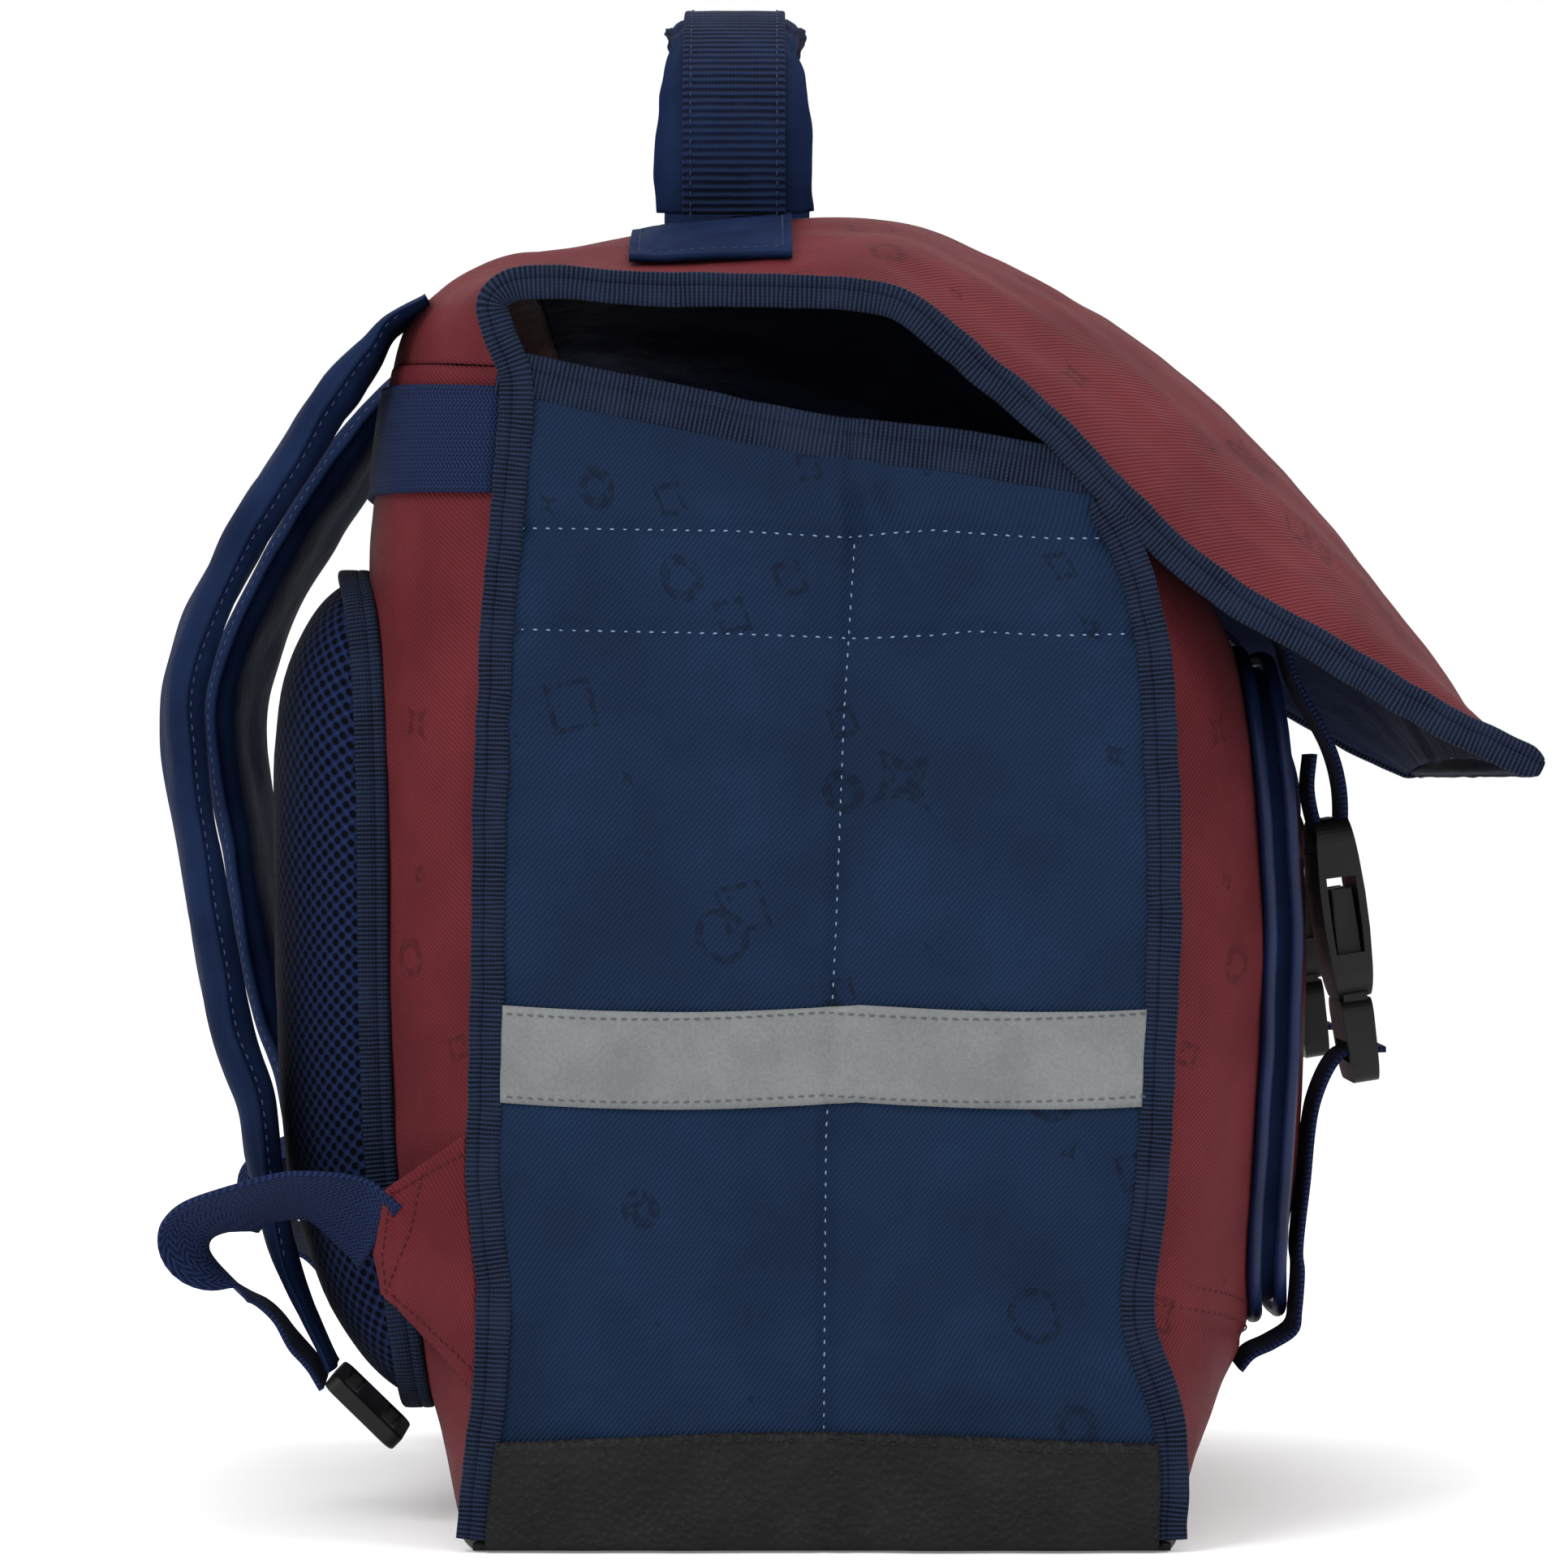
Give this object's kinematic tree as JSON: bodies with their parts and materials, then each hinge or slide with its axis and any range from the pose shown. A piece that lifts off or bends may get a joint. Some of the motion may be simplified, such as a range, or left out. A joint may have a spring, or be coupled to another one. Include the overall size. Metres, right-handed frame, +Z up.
{
  "type": "school ransel",
  "caption": "Boxy school satchel worn on the back, with a long buckled flap, carry handle, padded back and shoulder straps.",
  "frame": {"origin": "middle of the flat underside that it stands on", "axes": "+Z up, +X to the bag's front where the buckles are, -X to the wearer's back, -Y to the wearer's left"},
  "size_m": [0.3931, 0.2802, 0.4459],
  "materials": {
    "red_twill": "maroon twill with a faint sheen and a tonal print of small plain figures",
    "navy_twill": "navy twill with a tonal print of small plain figures and pale stitching",
    "navy_lining": "smooth dark navy lining cloth",
    "navy_tape": "ribbed navy webbing and binding tape",
    "navy_mesh": "padded navy air mesh with round holes",
    "navy_satin": "smooth dark navy cloth with a low sheen",
    "black_leatherette": "black grained leatherette",
    "grey_reflective": "grey reflective strip with a fine speckle",
    "black_plastic": "moulded black plastic with a soft gloss"
  },
  "bodies": {
    "root": {"back_panel": "red_twill", "flap": "red_twill", "front_panel": "red_twill", "front_pocket": "red_twill", "strap_tab_left": "red_twill", "strap_tab_right": "red_twill", "side_panel_left": "navy_twill", "side_panel_right": "navy_twill", "flap_lining": "navy_lining", "edge_binding_left": "navy_tape", "edge_binding_right": "navy_tape", "front_binding_left": "navy_tape", "front_binding_right": "navy_tape", "mouth_tape_left": "navy_tape", "mouth_tape_right": "navy_tape", "hem_binding": "navy_tape", "pad_tape": "navy_tape", "strap_band": "navy_tape", "strap_webbing_left": "navy_tape", "strap_webbing_right": "navy_tape", "handle_webbing": "navy_tape", "flap_strap_left": "navy_tape", "flap_strap_right": "navy_tape", "front_strap_left": "navy_tape", "front_strap_right": "navy_tape", "back_pad": "navy_mesh", "shoulder_strap_left": "navy_satin", "shoulder_strap_right": "navy_satin", "handle": "navy_satin", "handle_patch_left": "navy_satin", "handle_patch_right": "navy_satin", "pocket_piping_outer": "navy_satin", "pocket_piping_inner": "navy_satin", "bottom_panel": "black_leatherette", "side_boot_left": "black_leatherette", "side_boot_right": "black_leatherette", "reflective_strip_left": "grey_reflective", "reflective_strip_right": "grey_reflective", "strap_adjuster_left": "black_plastic", "strap_adjuster_right": "black_plastic", "buckle_female_left": "black_plastic", "buckle_female_right": "black_plastic", "buckle_male_left": "black_plastic", "buckle_male_right": "black_plastic"}
  },
  "joints": []
}
